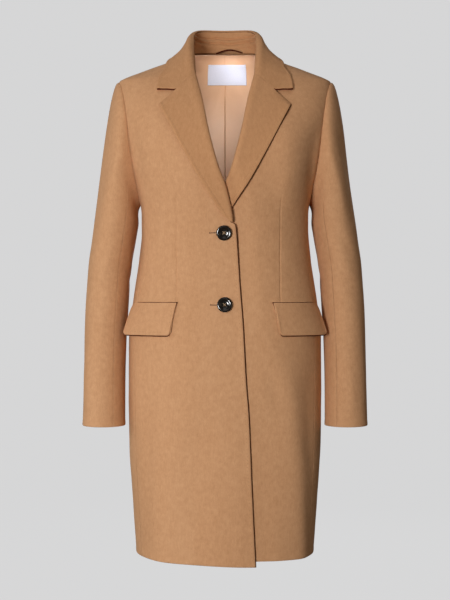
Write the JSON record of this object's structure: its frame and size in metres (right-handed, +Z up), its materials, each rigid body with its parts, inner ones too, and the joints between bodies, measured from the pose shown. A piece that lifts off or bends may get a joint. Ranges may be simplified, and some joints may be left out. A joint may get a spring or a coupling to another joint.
{
  "type": "wool coat",
  "caption": "Knee-length single-breasted wool coat with notch lapels, flap pockets and long sleeves, filled out as when worn, with no wearer.",
  "frame": {"origin": "base of the neck, midway between the shoulders, where the coat is worn", "axes": "+Z up, -Y towards the front of the coat, +X towards the wearer's left sleeve"},
  "size_m": [0.512, 0.279, 0.9647],
  "materials": {
    "wool": "brushed camel wool, matt with a soft nap",
    "wool_turned": "brushed camel wool, nap turned the other way",
    "lining": "peach satin",
    "label": "bare white woven tape",
    "horn": "dark horn, semi-gloss"
  },
  "bodies": {
    "root": {"front_right": "wool", "front_left": "wool", "side_right": "wool", "side_left": "wool", "back_right": "wool", "back_left": "wool", "top_sleeve_right": "wool", "top_sleeve_left": "wool", "under_sleeve_right": "wool", "under_sleeve_left": "wool", "lapel_right": "wool_turned", "lapel_left": "wool_turned", "collar_fall": "wool_turned", "collar_stand": "wool_turned", "flap_right": "wool", "flap_left": "wool", "button_upper": "horn", "button_lower": "horn", "lining_back": "lining", "neck_label": "label", "hanger_loop": "wool_turned"}
  },
  "joints": []
}
